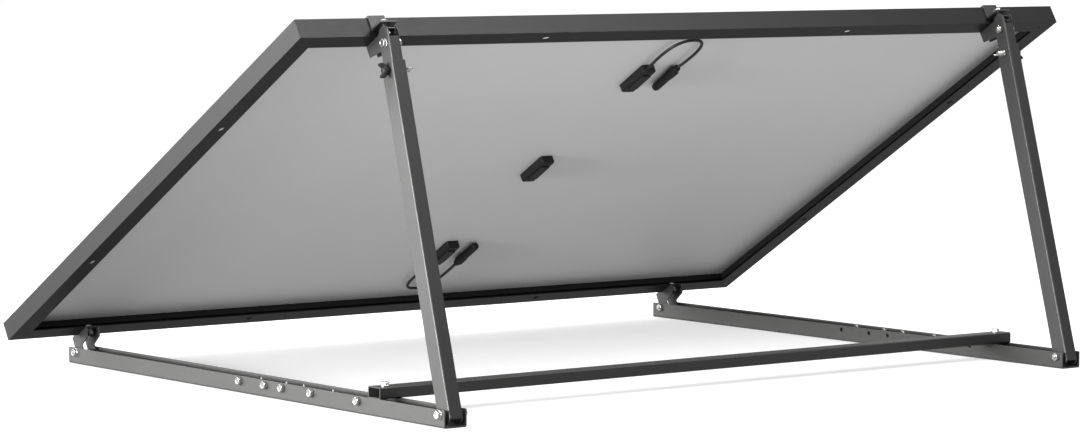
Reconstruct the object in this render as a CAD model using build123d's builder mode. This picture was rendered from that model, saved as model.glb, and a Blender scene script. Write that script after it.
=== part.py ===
"""Adjustable tilt mount for one framed solar panel, with the panel bolted in.

Two open U-rails are joined by a crossbar. Brackets at the panel's low edge turn on bolts near the
front ends of the rails. Telescopic legs stand on bolts near the rear ends and carry the panel's
high edge. A lock bolt through each outer leg runs in a slot of the inner leg.

Millimetres. +X runs along the panel's long side, +Y from the high edge to the low edge, +Z up.
The origin lies on the ground, at the middle of the anchor holes in the two rails.
"""

import os
from math import acos, asin, cos, degrees, hypot, radians, sin, tan

from build123d import *

os.makedirs("parts", exist_ok=True)

# ---- Panel -------------------------------------------------------------------------------
panel_width = 1722.0
panel_height = 1134.0
frame_depth = 35.0
frame_wall = 1.8
flange_width = 35.0
flange_thickness = 1.8
front_lip = 9.0
lip_thickness = 1.6
chamber_width = 12.0
chamber_height = 12.0
chamber_wall = 1.4
glass_thickness = 3.2
cells_thickness = 1.2
backsheet_thickness = 0.6
seal_gap = 0.4
glass_edge_gap = 1.5
key_leg = 42.0
key_clearance = 0.15
slot_length = 14.0
slot_width = 9.0
slot_inset = 20.0
long_side_slot = 345.0
short_side_slot = 250.0
drain_radius = 2.0
drain_inset = 30.0

# ---- Linkage -----------------------------------------------------------------------------
tilt = 30.7
pivot_height = 21.5
rail_spacing = 1400.0
rear_margin = 14.0
front_margin = 26.0
low_pivot_setback = 9.0
low_pivot_depth = 30.5
high_pivot_overhang = 16.969
high_pivot_depth = 22.0

# ---- Rails and crossbar ------------------------------------------------------------------
rail_width = 45.0
rail_height = 30.0
rail_wall = 2.5
rail_bend = 1.0
preset_offsets = (232.5, 372.0, 462.0, 516.0, 596.0)
anchor_inset = 150.0
anchor_radius = 4.5
crossbar_offset = 185.5
crossbar_depth = 35.0
crossbar_height = 20.0
crossbar_wall = 2.0
crossbar_corner = 3.0

# ---- Legs --------------------------------------------------------------------------------
outer_width = 27.0
outer_depth = 33.0
outer_wall = 2.0
outer_bend = 1.0
outer_rear = 16.0
outer_stop = 32.0
foot_radius = 17.5
nest_gap = 0.3
inner_wall = 2.0
inner_front = 14.0
inner_tail = 60.0
inner_head = 29.0
inner_relief = 20.0
lock_inset = 14.0
adjust_tail = 115.0
adjust_margin = 14.0
adjust_width = 8.6

# ---- Brackets and clamps -----------------------------------------------------------------
hinge_width = 28.0
hinge_wall = 2.5
hinge_reach = 38.0
hinge_lug = 13.0
hinge_upstand = 5.0
bracket_wall = 2.0
bracket_start = 37.0
bracket_end = 31.0
bracket_depth = 20.0
bracket_lug = 11.0
clamp_width = 34.0
clamp_thickness = 3.0
clamp_lip = 10.0
clamp_foot = 10.0

# ---- Fasteners ---------------------------------------------------------------------------
bolt_radius = 4.0
bolt_flats = 13.0
bolt_head = 5.3
nut_height = 6.5
collar_radius = 8.0
preset_collar = 6.4
collar_height = 1.6
hole_gap = 0.25
running_gap = 0.1
side_gap = 0.3
spacer_radius = 7.0
bolt_tail = 3.0
tip_chamfer = 0.8
knob_radius = 8.0
knob_height = 12.0
knob_span = 25.0
knob_blade = 7.0
knob_top = 17.0
stud_seat = 8.0
stud_tail = 16.0
wing_radius = 6.5
wing_hub = 7.0
wing_span = 30.0
wing_blade = 2.6
wing_top = 14.0

# ---- Junction boxes and leads ------------------------------------------------------------
box_pitch = 350.0
box_width = 28.0
box_length = 78.0
box_height = 15.0
box_corner = 3.0
box_chamfer = 2.5
lid_width = 20.0
lid_length = 50.0
lid_height = 2.0
boss_radius = 3.0
boss_height = 1.2
boss_inset = 7.0
gland_radius = 4.5
gland_length = 5.0
lead_x = -7.0
lead_level = 18.0
lead_radius = 2.8
bend_share = 0.45
high_route = ((-7, 961), (-14, 1010), (3, 1062), (53, 1062), (70, 1010), (61, 961))
low_route = ((-7, 173), (-16, 122), (-4, 68), (46, 68), (59, 123), (56, 173))
connector_radius = 9.0
connector_waist = 6.5
connector_nut = 22.0
connector_body = 46.0
connector_nose = 10.0

# ---- Derived layout ----------------------------------------------------------------------
high_pivot_u = panel_height + high_pivot_overhang
fold_radius = hypot(low_pivot_setback + high_pivot_u, low_pivot_depth - high_pivot_depth)
rail_length = rear_margin + fold_radius + front_margin
rail_front = rail_length / 2
rear_y = -rail_front + rear_margin
front_y = rail_front - front_margin
anchor_y = rail_front - anchor_inset
fold = tilt + degrees(asin((low_pivot_depth - high_pivot_depth) / fold_radius))
lean = fold / 2
leg_length = 2 * fold_radius * sin(radians(lean))
outer_top = round(leg_length) - outer_stop
inner_top = round(leg_length + inner_head)
inner_web_top = inner_top - inner_relief
lock_reach = outer_top - lock_inset
adjust_top = lock_reach + adjust_margin
half_spacing = rail_spacing / 2
crossbar_y = rear_y + crossbar_offset
ledge = frame_depth - lip_thickness - seal_gap - glass_thickness - cells_thickness - backsheet_thickness
across = Vector(1, 0, 0)
up_slope = Vector(0, -cos(radians(tilt)), sin(radians(tilt)))
outward = Vector(0, sin(radians(tilt)), cos(radians(tilt)))
along = Vector(0, sin(radians(lean)), cos(radians(lean)))
forward = Vector(0, cos(radians(lean)), -sin(radians(lean)))
rear_pivot = Vector(0, rear_y, pivot_height)
low_corner = Vector(0, front_y, pivot_height) + up_slope * low_pivot_setback + outward * low_pivot_depth
SIDES = {"left": -1, "right": 1}


def panel_point(x: float, u: float, n: float = 0.0) -> Vector:
    """Point at x across, u up the slope and n in front of the panel's rear face."""
    return low_corner + across * x + up_slope * u + outward * n


def panel_rear(x: float = 0.0, u: float = 0.0, n: float = 0.0) -> Plane:
    """Plane parallel to the panel, facing the ground; its own axes are x and u."""
    return Plane(origin=panel_point(x, u, n), x_dir=across, z_dir=-outward)


def panel_side(x: float) -> Plane:
    """Plane across the panel, facing -X; its own axes are u and n."""
    return Plane(origin=panel_point(x, 0), x_dir=up_slope, z_dir=-across)


def leg_point(x: float, s: float, f: float = 0.0) -> Vector:
    """Point s up a leg and f in front of its pivot line."""
    return rear_pivot + across * x + along * s + forward * f


def leg_side(x: float) -> Plane:
    """Plane across a leg, facing +X; its own axes are f and s."""
    return Plane(origin=leg_point(x, 0), x_dir=forward, z_dir=across)


def outboard(side: int, face: float, point: Vector, turn: Vector = Vector(0, 0, 1)) -> Plane:
    """Plane `face` outboard of a rail's centre line, level with `point`, facing outboard."""
    x = side * (half_spacing + face)
    return Plane(origin=(x, point.Y, point.Z), x_dir=turn, z_dir=across * side)


def inboard(side: int, face: float, point: Vector, turn: Vector = Vector(0, 0, 1)) -> Plane:
    """Plane `face` inboard of a rail's centre line, level with `point`, facing inboard."""
    x = side * (half_spacing - face)
    return Plane(origin=(x, point.Y, point.Z), x_dir=turn, z_dir=across * -side)


def finish(piece: Part, name: str) -> None:
    """Label a finished piece and write it out."""
    piece.label = name
    export_step(piece, f"parts/{name}.step")


def channel(width: float, depth: float, wall: float, bend: float) -> None:
    """U section with its open edge on the sketch's x axis and its web below."""
    RectangleRounded(width, 2 * depth, bend + wall)
    RectangleRounded(width - 2 * wall, 2 * (depth - wall), bend, mode=Mode.SUBTRACT)
    Rectangle(width, depth, align=(Align.CENTER, Align.MIN), mode=Mode.SUBTRACT)


# ---- Fasteners ---------------------------------------------------------------------------
def hex_bolt(seat: Plane, length: float, collar: float = collar_radius) -> Part:
    """Hex bolt with a collar under its head; the shank runs behind the seat."""
    with BuildPart() as bolt:
        with BuildSketch(seat):
            Circle(collar)
        extrude(amount=collar_height)
        with BuildSketch(seat.offset(collar_height)):
            RegularPolygon(bolt_flats / 2, 6, major_radius=False)
        extrude(amount=bolt_head)
        with BuildSketch(seat):
            Circle(bolt_radius)
        extrude(amount=-length)
        tip = bolt.faces().sort_by(Axis(seat.origin, seat.z_dir))[0]
        chamfer(tip.edges(), tip_chamfer)
    return bolt.part


def hex_nut(seat: Plane) -> Part:
    """Plain hex nut standing on the seat."""
    with BuildPart() as nut:
        with BuildSketch(seat):
            RegularPolygon(bolt_flats / 2, 6, major_radius=False)
            Circle(bolt_radius + running_gap, mode=Mode.SUBTRACT)
        extrude(amount=nut_height)
    return nut.part


def bush(seat: Plane, length: float) -> Part:
    """Spacer bush standing on the seat."""
    with BuildPart() as ring:
        with BuildSketch(seat):
            Circle(spacer_radius)
            Circle(bolt_radius + running_gap, mode=Mode.SUBTRACT)
        extrude(amount=length)
    return ring.part


def winged(seat: Plane, hub: float, height: float, span: float, top: float, blade: float) -> Part:
    """Hub with two upright wings along the seat's x axis."""
    with BuildPart() as grip:
        with BuildSketch(seat):
            Circle(hub)
        extrude(amount=height)
        with BuildSketch(Plane(origin=seat.origin, x_dir=seat.x_dir, z_dir=seat.x_dir.cross(seat.z_dir))):
            for hand in (-1, 1):
                root = hand * hub * 0.6
                Polygon(
                    (root, height * 0.2),
                    (hand * span / 2, height * 0.6),
                    (hand * span / 2, top),
                    (hand * span * 0.36, top),
                    (root, height),
                    align=None,
                )
        extrude(amount=blade / 2, both=True)
    return grip.part


# ---- Rails -------------------------------------------------------------------------------
def make_rail(x: float) -> Part:
    """Open U-rail with its pivot and preset holes through both walls."""
    holes = [rear_y, front_y] + [rear_y + offset for offset in preset_offsets]
    with BuildPart() as rail:
        with BuildSketch(Plane(origin=(x, rail_front, rail_height), x_dir=(1, 0, 0), z_dir=(0, -1, 0))):
            channel(rail_width, rail_height, rail_wall, rail_bend)
        extrude(amount=rail_length)
        with BuildSketch(Plane(origin=(x - rail_width, 0, pivot_height), x_dir=(0, 1, 0), z_dir=(1, 0, 0))):
            with Locations(*[(y, 0) for y in holes]):
                Circle(bolt_radius + hole_gap)
        extrude(amount=2 * rail_width, mode=Mode.SUBTRACT)
        with BuildSketch():
            with Locations((x, -anchor_y), (x, anchor_y)):
                Circle(anchor_radius)
        extrude(amount=rail_wall, mode=Mode.SUBTRACT)
        # The web and the two walls stay separate solids, so that the trough between them is open.
        split(bisect_by=Plane.XY.offset(rail_wall), keep=Keep.BOTH)
    return rail.part


for name, side in SIDES.items():
    finish(make_rail(side * half_spacing), f"rail_{name}")

# ---- Crossbar ----------------------------------------------------------------------------
crossbar_length = rail_spacing + rail_width
tube_width, tube_height = crossbar_depth - 2 * crossbar_wall, crossbar_height - 2 * crossbar_wall
crossbar_top = rail_height + crossbar_height
with BuildPart() as crossbar:
    middle = (-crossbar_length / 2, crossbar_y, rail_height + crossbar_height / 2)
    with BuildSketch(Plane(origin=middle, x_dir=(0, 1, 0), z_dir=(1, 0, 0))):
        RectangleRounded(crossbar_depth, crossbar_height, crossbar_corner)
        RectangleRounded(tube_width, tube_height, crossbar_corner - crossbar_wall, mode=Mode.SUBTRACT)
    extrude(amount=crossbar_length)
    with BuildSketch(Plane.XY.offset(rail_height)):
        with Locations((-half_spacing, crossbar_y), (half_spacing, crossbar_y)):
            Circle(bolt_radius + hole_gap)
    extrude(amount=crossbar_height, mode=Mode.SUBTRACT)
finish(crossbar.part, "crossbar")

with BuildPart() as crossbar_bolts:
    for side in SIDES.values():
        add(hex_bolt(Plane((side * half_spacing, crossbar_y, crossbar_top)), crossbar_top - rail_wall - 0.5))
finish(crossbar_bolts.part, "crossbar_bolts")

with BuildPart() as crossbar_nuts:
    for side in SIDES.values():
        add(hex_nut(Plane((side * half_spacing, crossbar_y, rail_wall))))
finish(crossbar_nuts.part, "crossbar_nuts")

# ---- Pivot and preset fasteners in the rails ---------------------------------------------
low_pivot = Vector(0, front_y, pivot_height)
wall_face = rail_width / 2
inner_face = wall_face - rail_wall
pivot_grip = rail_width + nut_height + bolt_tail

for end, point, width in (("rear", rear_pivot, outer_width), ("front", low_pivot, hinge_width)):
    with BuildPart() as pivot_bolts:
        for side in SIDES.values():
            add(hex_bolt(outboard(side, wall_face, point), pivot_grip))
    finish(pivot_bolts.part, f"{end}_pivot_bolts")
    with BuildPart() as pivot_nuts:
        for side in SIDES.values():
            add(hex_nut(inboard(side, wall_face, point)))
    finish(pivot_nuts.part, f"{end}_pivot_nuts")
    bush_length = inner_face - width / 2 - side_gap
    with BuildPart() as pivot_spacers:
        for side in SIDES.values():
            add(bush(outboard(side, -inner_face, point), bush_length))
            add(bush(inboard(side, -inner_face, point), bush_length))
    finish(pivot_spacers.part, f"{end}_pivot_spacers")

preset_grip = rail_wall + nut_height + bolt_tail / 2
preset_points = [Vector(0, rear_y + offset, pivot_height) for offset in preset_offsets]
with BuildPart() as preset_bolts:
    for side in SIDES.values():
        for point in preset_points:
            add(hex_bolt(outboard(side, wall_face, point), preset_grip, preset_collar))
finish(preset_bolts.part, "preset_bolts")

with BuildPart() as preset_nuts:
    for side in SIDES.values():
        for point in preset_points:
            add(hex_nut(inboard(side, -inner_face, point)))
finish(preset_nuts.part, "preset_nuts")


# ---- Panel frame -------------------------------------------------------------------------
def frame_section() -> None:
    """Frame extrusion: a inward from the outer edge, h from the rear face to the front."""
    Polygon(
        (0, 0),
        (flange_width, 0),
        (flange_width, flange_thickness),
        (frame_wall, flange_thickness),
        (frame_wall, ledge - chamber_height),
        (chamber_width, ledge - chamber_height),
        (chamber_width, ledge),
        (frame_wall, ledge),
        (frame_wall, frame_depth - lip_thickness),
        (front_lip, frame_depth - lip_thickness),
        (front_lip, frame_depth),
        (0, frame_depth),
        align=None,
    )
    with Locations((frame_wall, ledge - chamber_height + chamber_wall)):
        Rectangle(
            chamber_width - frame_wall - chamber_wall,
            chamber_height - 2 * chamber_wall,
            align=(Align.MIN, Align.MIN),
            mode=Mode.SUBTRACT,
        )


def frame_member(run: Plane, length: float, mitre: list, slots: list, turn: float, drains: list) -> Part:
    """One side of the frame, mitred at both ends, slotted through its rear flange."""
    with BuildPart() as member:
        with BuildSketch(run):
            frame_section()
        extrude(amount=length)
        with BuildSketch(panel_rear(n=-1)):
            Polygon(*mitre, align=None)
        extrude(amount=-frame_depth - 2, mode=Mode.INTERSECT)
        with BuildSketch(panel_rear()):
            with Locations(*slots):
                SlotOverall(slot_length, slot_width, rotation=turn)
            if drains:
                with Locations(*drains):
                    Circle(drain_radius)
        extrude(amount=-flange_thickness, mode=Mode.SUBTRACT)
        # The outer wall, flange, chamber and lip stay separate solids, so that the gap behind the
        # laminate is open.
        split(bisect_by=Plane(origin=run.origin + run.x_dir * frame_wall, z_dir=run.x_dir), keep=Keep.BOTH)
    return member.part


half_width = panel_width / 2
half_height = panel_height / 2
far = panel_height
for name, edge, hand in (("bottom", 0.0, 1), ("top", far, -1)):
    run = Plane(origin=panel_point(hand * half_width, edge), x_dir=up_slope * hand, z_dir=across * -hand)
    inner = edge + hand * flange_width
    mitre = [
        (-half_width, edge),
        (half_width, edge),
        (half_width - flange_width, inner),
        (flange_width - half_width, inner),
    ]
    row = edge + hand * slot_inset
    slots = [(x, row) for x in (-half_spacing, -long_side_slot, long_side_slot, half_spacing)]
    drains = [(x, row) for x in (drain_inset - half_width, half_width - drain_inset)]
    finish(frame_member(run, panel_width, mitre, slots, 0, drains), f"frame_{name}")

for name, hand in SIDES.items():
    edge = hand * half_width
    start = far if hand > 0 else 0.0
    run = Plane(origin=panel_point(edge, start), x_dir=across * -hand, z_dir=up_slope * -hand)
    inner = edge - hand * flange_width
    mitre = [(edge, 0), (edge, far), (inner, far - flange_width), (inner, flange_width)]
    row = edge - hand * slot_inset
    slots = [(row, half_height - short_side_slot), (row, half_height + short_side_slot)]
    finish(frame_member(run, panel_height, mitre, slots, 90, []), f"frame_{name}")

key_floor = ledge - chamber_height + chamber_wall
key_height = chamber_height - 2 * chamber_wall - key_clearance
key_inset = frame_wall + key_clearance
key_width = chamber_width - frame_wall - chamber_wall - 2 * key_clearance
with BuildPart() as corner_keys:
    for hand in (-1, 1):
        for edge, up in ((0.0, 1), (far, -1)):
            corner = (hand * (half_width - key_inset), edge + up * key_inset)
            align_x = Align.MAX if hand > 0 else Align.MIN
            align_u = Align.MIN if up > 0 else Align.MAX
            with BuildSketch(panel_rear(n=key_floor)):
                with Locations(corner):
                    Rectangle(key_leg, key_width, align=(align_x, align_u))
                    Rectangle(key_width, key_leg, align=(align_x, align_u))
            extrude(amount=-key_height)
finish(corner_keys.part, "corner_keys")

# ---- Laminate ----------------------------------------------------------------------------
sheet_inset = 2 * (frame_wall + glass_edge_gap)
level = ledge
for name, thickness in (
    ("backsheet", backsheet_thickness),
    ("cell_sheet", cells_thickness),
    ("glass", glass_thickness),
):
    with BuildPart() as sheet:
        with BuildSketch(panel_rear(0, half_height, level)):
            Rectangle(panel_width - sheet_inset, panel_height - sheet_inset)
        extrude(amount=-thickness)
    finish(sheet.part, name)
    level += thickness


# ---- Junction boxes ----------------------------------------------------------------------
def make_box(u: float, gland: int) -> Part:
    """Junction box on the backsheet, with a gland at its upper (1) or lower (-1) end."""
    with BuildPart() as box:
        with BuildSketch(panel_rear(0, u, ledge)):
            RectangleRounded(box_width, box_length, box_corner)
        extrude(amount=box_height)
        cover = box.faces().sort_by(Axis(panel_point(0, u), -outward))[-1]
        chamfer(cover.edges(), box_chamfer)
        with BuildSketch(panel_rear(0, u, ledge - box_height)):
            for end in (-1, 1):
                with Locations((0, end * (box_length / 2 - boss_inset))):
                    Circle(boss_radius)
        extrude(amount=boss_height)
        if gland:
            mouth = panel_point(lead_x, u + gland * box_length / 2, lead_level)
            with BuildSketch(Plane(origin=mouth, x_dir=across, z_dir=up_slope * gland)):
                Circle(gland_radius)
            extrude(amount=gland_length)
    return box.part


for name, step in (("bottom", -1), ("middle", 0), ("top", 1)):
    u = half_height + step * box_pitch
    finish(make_box(u, step), f"junction_box_{name}")
    with BuildPart() as lid:
        with BuildSketch(panel_rear(0, u, ledge - box_height)):
            RectangleRounded(lid_width, lid_length, box_corner)
        extrude(amount=lid_height)
    finish(lid.part, f"junction_lid_{name}")


# ---- Leads and connectors ----------------------------------------------------------------
def bend_radii(route: tuple) -> list:
    """Radius at each inner point, from its shorter run and its turn."""
    radii = []
    for before, here, after in zip(route, route[1:], route[2:]):
        first, second = Vector(*here) - Vector(*before), Vector(*after) - Vector(*here)
        turn = acos(first.normalized().dot(second.normalized()))
        radii.append(bend_share * min(first.length, second.length) / tan(turn / 2))
    return radii


def make_lead(route: tuple) -> Part:
    """Round lead along a filleted route behind the backsheet."""
    with BuildPart() as lead:
        with BuildLine(panel_rear(n=lead_level)) as line:
            FilletPolyline(*route, radius=bend_radii(route))
        with BuildSketch(Plane(origin=line.line @ 0, z_dir=line.line % 0)):
            Circle(lead_radius)
        sweep()
    return lead.part


def make_connector(x: float, u: float, hand: int) -> Part:
    """Mated plug and socket, running along the slope from the end of a lead."""
    with BuildPart() as connector:
        reach = 0.0
        for radius, length in (
            (connector_waist, connector_nose),
            (connector_radius, connector_nut),
            (connector_waist, connector_body),
        ):
            with BuildSketch(
                Plane(origin=panel_point(x, u + hand * reach, lead_level), x_dir=across, z_dir=up_slope * hand)
            ):
                Circle(radius)
            extrude(amount=length)
            reach += length
    return connector.part


for name, route, hand in (("top", high_route, -1), ("bottom", low_route, 1)):
    finish(make_lead(route), f"lead_{name}")
    print(name, "lead radii", [round(r, 1) for r in bend_radii(route)])
    finish(make_connector(*route[-1], hand), f"connector_{name}")


# ---- Hinge brackets at the low edge ------------------------------------------------------
def make_hinge_bracket(x: float) -> Part:
    """Folded bracket under the frame's flange, with a lug round each end of its pivot."""
    pivot = (-low_pivot_setback, -low_pivot_depth)
    left, right = pivot[0] - hinge_lug, pivot[0] + hinge_lug
    with BuildPart() as bracket:
        with BuildSketch(panel_side(x + hinge_width / 2)):
            Polygon(
                (hinge_reach, 0),
                (hinge_reach, -5),
                (hinge_reach - 9, -18),
                (right, -22),
                (right, pivot[1]),
                (left, pivot[1]),
                (left + 2, hinge_upstand),
                (0, hinge_upstand),
                (0, 0),
                align=None,
            )
            with Locations(pivot):
                Circle(hinge_lug)
        extrude(amount=hinge_width)
        with BuildSketch(panel_side(x + hinge_width / 2 - hinge_wall)):
            Polygon(
                (hinge_reach + 9, -hinge_wall),
                (hinge_reach + 9, -60),
                (-60, -60),
                (-60, 30),
                (-hinge_wall, 30),
                (-hinge_wall, -hinge_wall),
                align=None,
            )
        extrude(amount=hinge_width - 2 * hinge_wall, mode=Mode.SUBTRACT)
        with BuildSketch(panel_side(x + hinge_width / 2)):
            with Locations(pivot):
                Circle(bolt_radius + running_gap)
        extrude(amount=hinge_width, mode=Mode.SUBTRACT)
        with BuildSketch(panel_rear(x, slot_inset)):
            Circle(bolt_radius + hole_gap)
        extrude(amount=hinge_wall, mode=Mode.SUBTRACT)
    return bracket.part


for name, side in SIDES.items():
    finish(make_hinge_bracket(side * half_spacing), f"hinge_bracket_{name}")

with BuildPart() as hinge_bracket_bolts:
    for side in SIDES.values():
        grip = hinge_wall + flange_thickness + nut_height + bolt_tail / 2
        add(hex_bolt(panel_rear(side * half_spacing, slot_inset, -hinge_wall), grip))
finish(hinge_bracket_bolts.part, "hinge_bracket_bolts")

with BuildPart() as hinge_bracket_nuts:
    for side in SIDES.values():
        seat = Plane(
            origin=panel_point(side * half_spacing, slot_inset, flange_thickness),
            x_dir=up_slope,
            z_dir=outward,
        )
        add(hex_nut(seat))
finish(hinge_bracket_nuts.part, "hinge_bracket_nuts")

# ---- Pivot brackets and end clamps at the high edge --------------------------------------
inner_width = outer_width - 2 * outer_wall - 2 * nest_gap
bracket_width = inner_width - 2 * inner_wall - 2 * nest_gap
bracket_span = bracket_start + bracket_end


def make_pivot_bracket(x: float) -> Part:
    """Folded bracket between the inner leg's cheeks, under the frame's flange."""
    with BuildPart() as bracket:
        with BuildSketch(panel_side(x + bracket_width / 2)):
            Polygon(
                (far - bracket_start, 0),
                (far - bracket_start, -bracket_depth),
                (high_pivot_u - bracket_lug * 0.7, -high_pivot_depth - bracket_lug * 0.7),
                (high_pivot_u + bracket_lug, -high_pivot_depth),
                (far + bracket_end, -3 * bracket_wall),
                (far + bracket_end, 0),
                align=None,
            )
            with Locations((high_pivot_u, -high_pivot_depth)):
                Circle(bracket_lug)
        extrude(amount=bracket_width)
        with BuildSketch(panel_side(x + bracket_width / 2 - bracket_wall)):
            with Locations((far, -bracket_wall)):
                Rectangle(3 * bracket_span, 3 * high_pivot_depth, align=(Align.CENTER, Align.MAX))
        extrude(amount=bracket_width - 2 * bracket_wall, mode=Mode.SUBTRACT)
        with BuildSketch(panel_side(x + bracket_width / 2)):
            with Locations((high_pivot_u, -high_pivot_depth)):
                Circle(bolt_radius + hole_gap)
        extrude(amount=bracket_width, mode=Mode.SUBTRACT)
        with BuildSketch(panel_rear(x, high_pivot_u)):
            Circle(bolt_radius + hole_gap)
        extrude(amount=bracket_wall, mode=Mode.SUBTRACT)
    return bracket.part


def make_end_clamp(x: float) -> Part:
    """Z-shaped clamp hooked over the frame's front lip and bolted to the pivot bracket."""
    front = frame_depth + clamp_thickness
    toe = far + bracket_end
    with BuildPart() as clamp:
        with BuildSketch(panel_side(x + clamp_width / 2)):
            Polygon(
                (far - clamp_lip, frame_depth),
                (far, frame_depth),
                (far, clamp_foot),
                (toe, clamp_foot),
                (toe, clamp_foot + clamp_thickness),
                (far + clamp_thickness, clamp_foot + clamp_thickness),
                (far + clamp_thickness, front),
                (far - clamp_lip, front),
                align=None,
            )
        extrude(amount=clamp_width)
        with BuildSketch(panel_rear(x, high_pivot_u, clamp_foot)):
            Circle(bolt_radius + hole_gap)
        extrude(amount=-clamp_thickness, mode=Mode.SUBTRACT)
    return clamp.part


for name, side in SIDES.items():
    finish(make_pivot_bracket(side * half_spacing), f"pivot_bracket_{name}")
    finish(make_end_clamp(side * half_spacing), f"end_clamp_{name}")

clamp_top = clamp_foot + clamp_thickness
with BuildPart() as clamp_bolts:
    for side in SIDES.values():
        point = panel_point(side * half_spacing, high_pivot_u, clamp_top)
        grip = clamp_top + bracket_wall + nut_height + bolt_tail / 2
        add(hex_bolt(Plane(origin=point, x_dir=up_slope, z_dir=outward), grip, preset_collar))
finish(clamp_bolts.part, "clamp_bolts")

with BuildPart() as clamp_nuts:
    for side in SIDES.values():
        point = panel_point(side * half_spacing, high_pivot_u, -bracket_wall)
        add(hex_nut(Plane(origin=point, x_dir=up_slope, z_dir=-outward)))
finish(clamp_nuts.part, "clamp_nuts")

high_pivot = panel_point(0, high_pivot_u, -high_pivot_depth)
head_face = inner_width / 2 + side_gap
with BuildPart() as top_pivot_bolts:
    for side in SIDES.values():
        add(hex_bolt(outboard(side, head_face, high_pivot), 2 * head_face + nut_height + bolt_tail))
finish(top_pivot_bolts.part, "top_pivot_bolts")

with BuildPart() as top_pivot_nuts:
    for side in SIDES.values():
        add(hex_nut(inboard(side, head_face, high_pivot)))
finish(top_pivot_nuts.part, "top_pivot_nuts")


# ---- Legs --------------------------------------------------------------------------------
def make_outer_leg(x: float) -> Part:
    """Outer channel, web to the rear, rounded at the foot so that it turns in the rail."""
    front = outer_depth - outer_rear
    with BuildPart() as leg:
        foot = Plane(origin=leg_point(x, -foot_radius, front), x_dir=across, z_dir=along)
        with BuildSketch(foot):
            channel(outer_width, outer_depth, outer_wall, outer_bend)
        extrude(amount=foot_radius + outer_top)
        with BuildSketch(leg_side(x - outer_width)):
            Circle(foot_radius)
            Rectangle(3 * outer_depth, 2 * outer_top, align=(Align.CENTER, Align.MIN))
        extrude(amount=2 * outer_width, mode=Mode.INTERSECT)
        with BuildSketch(leg_side(x - outer_width)):
            with Locations((0, 0), (0, lock_reach)):
                Circle(bolt_radius + running_gap)
        extrude(amount=2 * outer_width, mode=Mode.SUBTRACT)
    return leg.part


def make_inner_leg(x: float) -> Part:
    """Inner channel, nested in the outer one, with its adjusting slot and rounded head."""
    depth = outer_rear - outer_wall - nest_gap + inner_front
    head = depth / 2
    interior = inner_width - 2 * inner_wall
    with BuildPart() as leg:
        tail = Plane(origin=leg_point(x, inner_tail, inner_front), x_dir=across, z_dir=along)
        with BuildSketch(tail):
            channel(inner_width, depth, inner_wall, outer_bend)
        extrude(amount=inner_top - inner_tail)
        with BuildSketch(leg_side(x - outer_width)):
            with Locations((inner_front - head, inner_top - head)):
                Circle(head)
                Rectangle(depth, 2 * inner_top, align=(Align.CENTER, Align.MAX))
        extrude(amount=2 * outer_width, mode=Mode.INTERSECT)
        with BuildSketch(leg_side(x - interior / 2)):
            with Locations((0, inner_web_top)):
                Rectangle(3 * depth, depth, align=(Align.CENTER, Align.MIN))
        extrude(amount=interior, mode=Mode.SUBTRACT)
        with BuildSketch(leg_side(x - outer_width)):
            with Locations((0, (adjust_tail + adjust_top) / 2)):
                SlotOverall(adjust_top - adjust_tail, adjust_width, rotation=90)
            with Locations((0, leg_length)):
                Circle(bolt_radius + running_gap)
        extrude(amount=2 * outer_width, mode=Mode.SUBTRACT)
    return leg.part


for name, side in SIDES.items():
    finish(make_outer_leg(side * half_spacing), f"leg_outer_{name}")
    finish(make_inner_leg(side * half_spacing), f"leg_inner_{name}")

# ---- Lock knobs, lock bolts and wing nuts ------------------------------------------------
lock_point = leg_point(0, lock_reach)
lock_face = outer_width / 2 + side_gap
for name, side in SIDES.items():
    knob_seat = outboard(side, lock_face, lock_point, along)
    nut_seat = inboard(side, lock_face, lock_point, forward)
    with BuildPart() as lock_knob:
        add(winged(knob_seat, knob_radius, knob_height, knob_span, knob_top, knob_blade))
        with BuildSketch(knob_seat):
            Circle(bolt_radius + running_gap)
        extrude(amount=stud_seat, mode=Mode.SUBTRACT)
    finish(lock_knob.part, f"lock_knob_{name}")
    with BuildPart() as lock_bolt:
        with BuildSketch(knob_seat.offset(stud_seat)):
            Circle(bolt_radius)
        extrude(amount=-(stud_seat + 2 * lock_face + stud_tail))
    finish(lock_bolt.part, f"lock_bolt_{name}")
    with BuildPart() as wing_nut:
        add(winged(nut_seat, wing_radius, wing_hub, wing_span, wing_top, wing_blade))
        with BuildSketch(nut_seat):
            Circle(bolt_radius + running_gap)
        extrude(amount=wing_top, mode=Mode.SUBTRACT)
    finish(wing_nut.part, f"wing_nut_{name}")
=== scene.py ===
"""Looks of an adjustable tilt mount with a framed solar panel bolted in.

Each sub-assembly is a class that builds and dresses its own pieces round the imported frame.
"""

import logging
import math
from dataclasses import dataclass, field
from enum import Enum
from typing import Iterable, Optional, Sequence

import bmesh
import bpy
from mathutils import Matrix, Vector


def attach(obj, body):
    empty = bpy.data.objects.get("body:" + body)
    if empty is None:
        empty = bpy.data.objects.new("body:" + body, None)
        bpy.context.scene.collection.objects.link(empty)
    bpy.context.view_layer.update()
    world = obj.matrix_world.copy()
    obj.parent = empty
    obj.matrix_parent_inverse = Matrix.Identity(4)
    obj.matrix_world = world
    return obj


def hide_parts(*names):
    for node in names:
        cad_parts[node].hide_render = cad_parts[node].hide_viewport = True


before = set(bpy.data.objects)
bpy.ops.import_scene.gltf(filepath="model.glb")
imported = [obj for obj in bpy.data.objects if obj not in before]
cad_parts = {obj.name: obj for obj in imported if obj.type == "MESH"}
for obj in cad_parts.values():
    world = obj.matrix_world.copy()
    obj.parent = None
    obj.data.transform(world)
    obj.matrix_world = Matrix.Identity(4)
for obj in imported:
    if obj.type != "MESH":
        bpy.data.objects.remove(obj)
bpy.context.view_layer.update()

log = logging.getLogger("tilt_mount")
MM = 0.001
SIDES = {"left": -1, "right": 1}
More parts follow.
